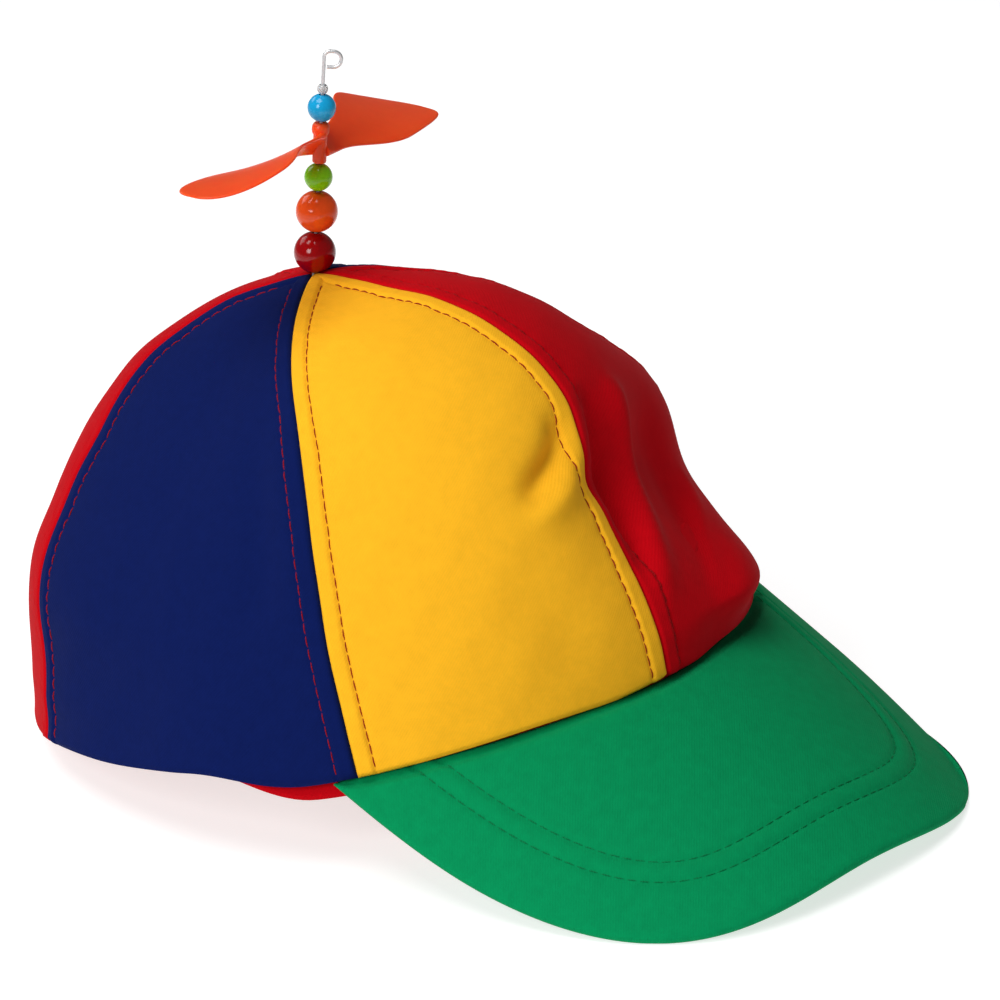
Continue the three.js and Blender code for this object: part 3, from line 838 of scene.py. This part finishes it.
def panel_surface(first_seam, second_seam):
    """A panel between two seams. Its cloth is laid on the crown with the creases and the seams'
    relief, and its lower edge rolls under."""
    rows = even_rows(first_seam, second_seam, ROW_SPACING)
    share, across = np.meshgrid(rows, seam_columns(PANEL_WIDTH), indexing="ij")
    angle = lerp(seam_angle(first_seam, share), seam_angle(second_seam, share), across)
    climb = share * climb_at_radius(angle, TOP_HOLE)
    base, round_way, outwards = crown_surface(angle, climb)
    run = run_length(base, 1)
    back_run = run[:, -1:] - run
    rise = run_length(base, 0)
    sides = [(run, slice(None)), (back_run[:, ::-1], slice(None, None, -1))]
    line_runs = [
        run_length(across_rows(base[:, order], distances, STITCH_ROW), 0)
        for distances, order in sides
    ]
    along = np.where(run < back_run, line_runs[0][:, None], line_runs[1][:, None])
    away = np.minimum(run, back_run)
    hem = ROLL - np.minimum(rise, ROLL)
    creases = crease_relief(base) + wander(base)
    relief = seam_relief(away, along) + np.sqrt(ROLL ** 2 - hem ** 2) - ROLL
    surface = base + outwards * (relief + creases)[..., None]
    inner = base + outwards * (creases - CLOTH)[..., None]
    raised = RUNNING_GAP * (1 - smooth(rise, 0, 3))
    raised = raised + hem_wave(angle) * (1 - smooth(rise, 0, HEM_WAVE_HEIGHT))
    shift = SEAM_GAP / 2 * round_way
    for grid in (surface, inner):
        grid[..., 2] += raised
        grid[:, 0] += shift[:, 0]
        grid[:, -1] -= shift[:, -1]
    last = np.nonzero(run[:, -1] > 2 * STITCH_ROW + 0.8)[0][-1]
    stitches = []
    for line_run, (distances, order) in zip(line_runs, sides):
        line = across_rows(surface[:, order], distances, STITCH_ROW)
        direction = across_rows(outwards[:, order], distances, STITCH_ROW)
        begin = STITCH_PITCH / 2
        stitches.append(make_stitches(line, direction, line_run, begin, line_run[last]))
    cloth_map = np.stack([run - run[:, -1:] / 2, rise], -1)
    return surface, inner, cloth_map, stitches


def pressed(points):
    """Points on the table, with what would reach under it pressed flat."""
    placed = on_table(points)
    placed[..., 2] = np.maximum(placed[..., 2], 0)
    return placed


def make_cloth(name, sides, cloth_map, slot, node, ring=False):
    """The piece of a sheet whose outer and inner grid stand on the table and share a map."""
    faces = sheet_faces(*cloth_map.shape[:2], ring)
    piece = make_piece(name, sides, faces, FINISHES[slot], np.stack([cloth_map, cloth_map]))
    dress(piece, "cap", slot, node)


def make_stitching(name, rows, finish, slot):
    """All the rows of stitches of one thread, as one piece."""
    starts = np.cumsum([0] + [len(points) for points, _, _ in rows[:-1]])
    points = np.concatenate([points for points, _, _ in rows])
    faces = np.concatenate([faces + start for (_, faces, _), start in zip(rows, starts)])
    cloth_map = np.concatenate([places for _, _, places in rows])
    stitching = make_piece(name, pressed(points), faces, finish, cloth_map)
    dress(stitching, "cap", slot)


def make_crown():
    rows = []
    for name, slot, first_seam, second_seam in PANELS:
        outer, inner, cloth_map, stitches = panel_surface(first_seam, second_seam)
        make_cloth(name, pressed(np.stack([outer, inner])), cloth_map, slot, "crown_" + name)
        rows += stitches
    make_stitching("crown_stitching", rows, RED_THREAD, "cotton_red")


def make_sweatband():
    """The band inside the rim: a closed ring of cloth that keeps to the head where the panels
    swell, and reaches down past the peak's edge at the front."""
    around, up = np.meshgrid(np.arange(300) / 300, np.linspace(0, 1, 31), indexing="xy")
    angle = around * 2 * math.pi
    level = math.cos(math.radians(BAND_LEVEL_END))
    front = smooth(np.cos(angle), level, math.cos(math.radians(BAND_LEVEL_START)))
    height = lerp(BAND_LIFT * (1 - front), BAND_HEIGHT, up)
    climb = climb_at_height(angle, height / CROWN_HEIGHT)
    base, _, outwards = crown_surface(angle, climb, 0.0)
    base[..., 2] -= BAND_DROP * front * (1 - smooth(up, 0, 0.25))
    edge = bell(np.minimum(up, 1 - up), 0.02) * BAND_WALL * 0.35
    outer = base - outwards * (PANEL_WALL + BAND_GAP + edge)[..., None]
    inner = base - outwards * (PANEL_WALL + BAND_GAP + BAND_WALL - edge)[..., None]
    cloth_map = np.stack([around * BAND_LENGTH, height], -1)
    sides = pressed(np.stack([outer, inner]))
    make_cloth("head_band", sides, cloth_map, "cotton_red", "sweatband", ring=True)


# Peak


def peak_edge():
    """The peak's outer edge on its board from the wearer's left to the right, as points 0.1 mm
    apart: a superellipse about its root, moved out by a few waves of the way round it."""
    power = 2 / PEAK_ROUNDNESS
    turn = signed_power(np.linspace(-1, 1, 4001), PEAK_ROUNDNESS / 2) * math.pi * 0.48
    u = -PEAK_HALF_WIDTH * signed_power(np.sin(turn), power)
    v = -PEAK_ROOT + (PEAK_LENGTH + PEAK_ROOT) * np.cos(turn) ** power
    way = np.arctan2(-u / PEAK_HALF_WIDTH, (v + PEAK_ROOT) / (PEAK_LENGTH + PEAK_ROOT))
    shapes = [np.cos(2 * way), np.sin(way), np.sin(3 * way), np.cos(4 * way), np.sin(2 * way)]
    wave = sum(size * shape for size, shape in zip(PEAK_WAVES, shapes))
    edge = np.stack([u, v], -1)
    ahead = unit(np.gradient(edge, axis=0))
    edge = edge + np.stack([-ahead[:, 1], ahead[:, 0]], -1) * -wave[:, None]
    length = run_length(edge, 0)
    even = np.linspace(0, length[-1], int(length[-1] * 10))
    return np.stack([np.interp(even, length, edge[:, k]) for k in range(2)], -1)


def peak_point(u, v, depth=0.0):
    """The board, warped towards its outer edge: twist u + sag u^2 + skew u^3, u in sixties."""
    point = board_point(u, v, depth)
    twist, sag, skew = PEAK_WARP
    share = u / 60
    point[..., 2] += smooth(v, 0, 55) * (twist * share + sag * share ** 2 + skew * share ** 3)
    return point


def in_front(edge):
    """The part of a line on the board, about its middle, that lies outside the crown's rim."""
    x, y, _ = np.moveaxis(board_point(edge[:, 0], edge[:, 1]), -1, 0)
    reach = np.abs(np.stack([x / HEAD_HALF_WIDTH, y / HEAD_FRONT])) ** FRONT_ROUNDNESS
    inside = np.nonzero((reach.sum(0) <= 1) | (y > 0))[0]
    middle = len(edge) // 2
    first = max(inside[inside < middle], default=-1) + 1
    last = min(inside[inside > middle], default=len(edge))
    return edge[first:last]


def away_from(line, u, v):
    """The distance of each (u, v) to the nearest of a line's segments."""
    start = line[:-1]
    step = np.diff(line, axis=0)
    place = np.stack([u, v], -1)[..., None, :]
    share = np.clip(((place - start) * step).sum(-1) / (step ** 2).sum(-1), 0, 1)
    return np.linalg.norm(place - start - step * share[..., None], axis=-1).min(-1)


def make_peak():
    """The peak: its cloth wraps a board between the crown's edge and its outer edge. Its half
    thickness rounds off as 1 - (1 - d / r)^n to the power 1 / n towards the outer edge, d away,
    and two grooves with their stitches run along that edge. Where its corner is pressed on the
    table, its height z eases to a thin edge w as w + ((z - w) + sqrt((z - w)^2 + w^2)) / 2."""
    whole_edge = peak_edge()
    edge = in_front(whole_edge)
    corner_y = np.abs(board_point(*edge[[0, -1]].T)[:, 1])
    inner_end = np.arccos((corner_y / HEAD_FRONT) ** (FRONT_ROUNDNESS / 2)) - math.radians(2.5)
    side, out = np.meshgrid(np.linspace(0, 1, 281), 1 - (1 - np.linspace(0, 1, 86)) ** 1.25)
    inner_u, inner_v = board_place(*rim_plan(lerp(-inner_end[1], inner_end[0], side), PEAK_TUCK))
    place = side * (len(edge) - 1)
    outer_u, outer_v = (np.interp(place, np.arange(len(edge)), edge[:, k]) for k in range(2))
    u = lerp(inner_u, outer_u, out)
    v = lerp(inner_v, outer_v, out)
    away = away_from(whole_edge[::8], u, v)
    middle = PEAK_THICKNESS / 2
    inwards = 1 - np.minimum(away / PEAK_EDGE, 1)
    half = middle * (1 - inwards ** PEAK_EDGE_POWER) ** (1 / PEAK_EDGE_POWER)
    half = np.maximum(half, PEAK_EDGE_LEFT)
    relief = np.zeros_like(away)
    for row in PEAK_ROWS:
        relief -= PEAK_GROOVE * bell(away - row, PEAK_GROOVE_WIDTH)
    ridge = smooth(away, PEAK_ROWS[0] + 0.5, PEAK_ROWS[0] + 2)
    relief += PEAK_RIDGE * ridge * (1 - smooth(away, PEAK_ROWS[1] - 2, PEAK_ROWS[1] - 0.5))
    from_crown = run_length(np.stack([u, v], -1), 0)
    relief -= PEAK_DIP * (1 - smooth(from_crown, PEAK_DIP_START, PEAK_DIP_END))
    top = peak_point(u, v, middle - half - relief * half / middle)
    under = peak_point(u, v, middle + half)
    placed = pressed(np.stack([top, under]))
    above = placed[0, ..., 2] - PRESSED_EDGE
    placed[0, ..., 2] = PRESSED_EDGE + (above + np.sqrt(above ** 2 + PRESSED_EDGE ** 2)) / 2
    make_cloth("green_peak", placed, np.stack([u, v], -1), "cotton_green", "peak")
    rows = [peak_stitches(row, whole_edge) for row in PEAK_ROWS]
    make_stitching("peak_stitching", rows, GREEN_THREAD, "cotton_green")


def peak_stitches(row, edge):
    """A row of stitches that keeps a distance from the peak's outer edge: the edge moved along
    its own inward normal, without the loops at its corners and what is under the crown."""
    ahead = unit(np.gradient(edge, axis=0))
    inset = edge + np.stack([-ahead[:, 1], ahead[:, 0]], -1) * row
    inset = in_front(inset)
    inset = inset[away_from(edge[::8], *inset.T) > row - 0.2]
    line = peak_point(*inset.T, 0.4)
    outwards = unit(line - peak_point(*inset.T, 2.0))
    along = run_length(line, 0)
    return make_stitches(line, outwards, along, 0.5, along[-1] - 0.5)


# Spindle


def revolve(profile, sides):
    """A closed profile of radius and height turned about Z: (r cos t, r sin t, h)."""
    radius, height = np.asarray(profile, float).T
    turn = np.arange(sides) * 2 * math.pi / sides
    x = radius[:, None] * np.cos(turn)
    y = radius[:, None] * np.sin(turn)
    z = np.broadcast_to(height[:, None], x.shape)
    faces = grid_faces(len(radius), sides, ring_rows=True, ring_columns=True)
    return np.stack([x, y, z], -1), faces


def bead_profile(radius):
    """Round a bead's section: its ball from bore to bore, eased into the bore, and the bore."""
    start = math.asin(BORE / radius) + 0.06
    turn = np.linspace(start, math.pi - start, 40)
    ball = np.stack([radius * np.sin(turn), -radius * np.cos(turn)], -1)
    top = ball[-1, 1]
    lip = np.array([[BORE + 0.06, top + 0.02], [BORE, top - 0.12]])
    bore = np.stack([np.full(4, BORE), np.linspace(top - 0.5, 0.5 - top, 4)], -1)
    return np.concatenate([ball, lip, bore, lip[::-1] * (1, -1)])


def make_beads():
    for colour, radius in BEADS.items():
        points, faces = revolve(bead_profile(radius), 64)
        points = points + (0, 0, threaded[colour])
        slot = "bead_" + colour
        bead = make_piece(colour + "_round_bead", on_spindle(points), faces, FINISHES[slot])
        dress(bead, "cap", slot, colour + "_bead")


def leaf_edge(edge, share):
    """How far an edge of the leaf stands from its middle line: width (1 - s^fullness)^rounding,
    times its share at the root eased to 1."""
    widening = lerp(edge["root_share"], 1, smooth(share, *LEAF_WIDENS))
    return edge["width"] * (1 - 0.9995 * share ** edge["fullness"]) ** edge["rounding"] * widening


def make_blade():
    """A blade along X as rings round its chord: the leaf's width at each share of its length,
    turned by a pitch that falls with the share's power, with round edges and a thicker root."""
    along = np.linspace(0, 1, 64)
    share = lerp(0.012, 0.9995, 1 - (1 - along) ** 1.6)[:, None]
    trail = -leaf_edge(TRAIL_EDGE, share)
    lead = leaf_edge(LEAD_EDGE, share)
    thick = BLADE_THICKNESS / 2 * (1 + 1.6 * bell(share * BLADE_LENGTH, 3.0)) * lerp(1, 0.7, share)
    flat = np.linspace(1, -1, 13)
    arc = np.linspace(math.pi / 2, -math.pi / 2, 7)[1:-1]
    across = np.concatenate([-flat, np.ones(5), flat, -np.ones(5)])
    edge_out = np.concatenate([np.zeros(13), np.cos(arc), np.zeros(13), -np.cos(arc)])
    edge_up = np.concatenate([np.ones(13), np.sin(arc), -np.ones(13), -np.sin(arc)])
    inner_half = np.maximum((lead - trail) / 2 - thick, 0.02)
    chord = (lead + trail) / 2 + across * inner_half + edge_out * thick
    depth = edge_up * thick
    pitch = np.radians(lerp(BLADE_ROOT_PITCH, BLADE_TIP_PITCH, share ** BLADE_TWIST))
    x = np.broadcast_to(BLADE_LENGTH * share, chord.shape)
    y = chord * np.cos(pitch) - depth * np.sin(pitch)
    z = chord * np.sin(pitch) + depth * np.cos(pitch) - BLADE_DROOP * share ** 2
    points = np.stack([x, y, z], -1)
    rings, sides = chord.shape
    caps = [list(range(sides)), list(range((rings - 1) * sides, rings * sides))]
    return points, [list(face) for face in grid_faces(rings, sides, ring_columns=True)] + caps


def turned_about_z(points, degrees):
    c = math.cos(math.radians(degrees))
    s = math.sin(math.radians(degrees))
    x, y, z = np.moveaxis(points, -1, 0)
    return np.stack([x * c - y * s, x * s + y * c, z], -1)


def make_propeller():
    """The hub's tube with its collar, united with its two blades."""
    half = HUB_LENGTH / 2
    profile = [
        (BORE, -half), (HUB_RADIUS * 0.8, -half), (HUB_RADIUS * 0.95, -half + 0.15),
        (HUB_RADIUS, -half + 0.5), (HUB_RADIUS, half - 3.2), (HUB_RADIUS + 0.3, half - 2.7),
        (HUB_RADIUS + 0.45, half - 2.0), (HUB_RADIUS + 0.4, half - 1.0),
        (HUB_RADIUS + 0.1, half - 0.35), (HUB_RADIUS * 0.8, half), (BORE, half),
    ]
    hub_points, hub_faces = revolve(profile, 48)
    blade_points, blade_faces = make_blade()
    material = FINISHES["propeller_orange"]
    hub = make_piece("propeller_moulding", hub_points, hub_faces, material)
    tools = [
        make_piece("blade", turned_about_z(blade_points, turn), blade_faces, material)
        for turn in (BLADE_BOW, 180 - BLADE_BOW)
    ]
    bore_points, bore_faces = revolve([(0.001, -9), (BORE, -9), (BORE, 9), (0.001, 9)], 48)
    tools.append(make_piece("drill", bore_points, bore_faces, material))
    for tool, operation in zip(tools, ("UNION", "UNION", "DIFFERENCE")):
        step = hub.modifiers.new(tool.name, "BOOLEAN")
        step.operation = operation
        step.object = tool
    evaluated = hub.evaluated_get(bpy.context.evaluated_depsgraph_get())
    whole = bpy.data.meshes.new_from_object(evaluated)
    hub.modifiers.clear()
    hub.data = whole
    for tool in tools:
        bpy.data.objects.remove(tool)
    place = np.zeros(len(whole.vertices) * 3)
    whole.vertices.foreach_get("co", place)
    raised = turned_about_z(place.reshape(-1, 3) / MM, PROPELLER_TURN)
    raised = raised + (0, 0, threaded["propeller"])
    whole.vertices.foreach_set("co", (on_spindle(raised) * MM).astype(np.float32).ravel())
    whole.set_sharp_from_angle(angle=math.radians(42))
    dress(hub, "propeller", "propeller_orange", "propeller")


def hook_line():
    """The wire's line in its own plane from the foot up: a straight stem, a quarter turn, over,
    round and back to the stem, as a P."""
    bottom = threaded["stem_top"]
    top = bottom + 2 * HOOK_RADIUS
    turn = np.linspace(math.pi, math.pi / 2, 14)[:, None]
    shoulder = HOOK_SHOULDER
    bend = np.concatenate([np.cos(turn), np.sin(turn)], 1)
    over = np.array([shoulder, top - shoulder]) + shoulder * bend
    swing = np.linspace(math.pi / 2, -math.pi / 2, 30)[:, None]
    centre = np.array([HOOK_REACH, (top + bottom) / 2])
    round_part = centre + HOOK_RADIUS * np.concatenate([np.cos(swing), np.sin(swing)], 1)
    foot = -(PANEL_WALL + FOOT_GAP + FOOT_THICKNESS / 2) / upright[2]
    stem = np.stack([np.zeros(30), np.linspace(foot, top - shoulder - 0.3, 30)], -1)
    back = np.stack([np.linspace(HOOK_REACH - 0.3, WIRE * 1.7, 6), np.full(6, bottom)], -1)
    return np.concatenate([stem, over, round_part, back])


def make_wire():
    """A round section carried along the hook's line, square to it, and the plain foot."""
    line = hook_line()
    way = unit(np.gradient(line, axis=0))
    turn = np.arange(16) * math.pi / 8
    normal = np.stack([way[:, 1], -way[:, 0]], -1)
    offset = WIRE * np.cos(turn)
    x = line[:, :1] + normal[:, :1] * offset
    z = line[:, 1:] + normal[:, 1:] * offset
    y = np.broadcast_to(WIRE * np.sin(turn), x.shape)
    points = turned_about_z(np.stack([x, y, z], -1), HOOK_TURN)
    rings = len(line)
    faces = [list(face) for face in grid_faces(rings, 16, ring_columns=True)]
    faces += [list(range(16)), list(range((rings - 1) * 16, rings * 16))]
    foot, foot_faces = revolve([
        (0.01, -FOOT_THICKNESS / 2), (FOOT_RADIUS - 0.2, -FOOT_THICKNESS / 2), (FOOT_RADIUS, 0),
        (FOOT_RADIUS - 0.2, FOOT_THICKNESS / 2), (0.01, FOOT_THICKNESS / 2),
    ], 32)
    foot_middle = crown_top - (0, 0, PANEL_WALL + FOOT_GAP + FOOT_THICKNESS / 2)
    placed = [on_spindle(points).reshape(-1, 3), on_table(foot + foot_middle).reshape(-1, 3)]
    faces += [list(face) for face in foot_faces + rings * 16]
    wire = make_piece("steel_wire", np.concatenate(placed), faces, FINISHES["wire_steel"])
    wire.data.set_sharp_from_angle(angle=math.radians(50))
    dress(wire, "cap", "wire_steel", "wire")


make_crown()
make_sweatband()
make_peak()
make_beads()
make_propeller()
make_wire()


# Studio: a pale floor that glows under and behind the cap, a soft key from the camera's left, a
# broad light over the cap and one behind it


def make_floor():
    """The floor. Its glow is an oval, turned as the camera is, that fades towards its rim."""
    half = 3000
    corners = [(-half, -half, 0), (half, -half, 0), (half, half, 0), (-half, half, 0)]
    material, tree, shader = new_material("pale floor")
    placed = add_node(tree, "Mapping", {
        "Vector": add_node(tree, "TexCoord").outputs["Object"],
        "Rotation": (0, 0, math.radians(CAMERA_AZIMUTH)),
        "Location": GLOW_MIDDLE, "Scale": GLOW_REACH,
    }, vector_type="TEXTURE").outputs[0]
    away = add_node(tree, "VectorMath", {0: placed}, operation="LENGTH").outputs["Value"]
    glow = add_node(tree, "MapRange", {
        "Value": away, "From Min": 1.0, "From Max": GLOW_FADED, "To Min": 1.0, "To Max": GLOW_LEFT,
    }, interpolation_type="SMOOTHSTEP").outputs[0]
    lit = add_node(tree, "VectorMath", {0: (1, 1, 1), 3: glow}, operation="SCALE")
    tree.links.new(lit.outputs[0], shader.inputs["Emission Color"])
    set_shader(shader, Base_Color=srgb(190, 190, 190), Roughness=0.9, Specular_IOR_Level=0.1)
    set_shader(shader, Emission_Strength=GLOW_STRENGTH)
    make_piece("floor", corners, [[0, 1, 2, 3]], material)


def direction(azimuth, elevation):
    """The way from the object to a place round it: 0 is towards -Y and 90 towards +X."""
    a = math.radians(azimuth)
    e = math.radians(elevation)
    return Vector((math.sin(a) * math.cos(e), -math.cos(a) * math.cos(e), math.sin(e)))


def make_camera():
    back = direction(CAMERA_AZIMUTH, CAMERA_ELEVATION)
    camera = add_object("camera", bpy.data.cameras.new("camera"))
    camera.data.lens = CAMERA_LENS
    camera.data.sensor_width = 36
    camera.data.clip_end = 20
    roll = Matrix.Rotation(math.radians(CAMERA_ROLL), 3, "Z")
    turn = (-back).to_track_quat("-Z", "Y").to_matrix() @ roll
    place = (Vector(CAMERA_AIM) + back * CAMERA_DISTANCE) * MM
    camera.matrix_world = Matrix.Translation(place) @ turn.to_4x4()
    bpy.context.scene.camera = camera


def add_light(name, azimuth, elevation, distance, width, height, power):
    """A soft box that faces the crown from a place round it."""
    lamp = bpy.data.lights.new(name, "AREA")
    lamp.shape = "RECTANGLE"
    lamp.size = width
    lamp.size_y = height
    lamp.energy = power
    holder = add_object(name, lamp)
    way = direction(azimuth, elevation)
    holder.location = Vector((0, 0, 0.08)) + way * distance
    holder.rotation_euler = (-way).to_track_quat("-Z", "Y").to_euler()


make_floor()
make_camera()
add_light("key", -82, 30, 1.3, 0.45, 0.6, 7.8)
add_light("overhead", -105, 73, 1.5, 0.9, 0.9, 13.5)
add_light("back", -175, 35, 1.5, 0.9, 0.6, 3.8)
world = bpy.data.worlds.new("studio")
bpy.context.scene.world = world
world.use_nodes = True
set_shader(world.node_tree.nodes["Background"], Color=srgb(250, 250, 250), Strength=0.12)
bpy.context.scene.view_settings.view_transform = "Standard"
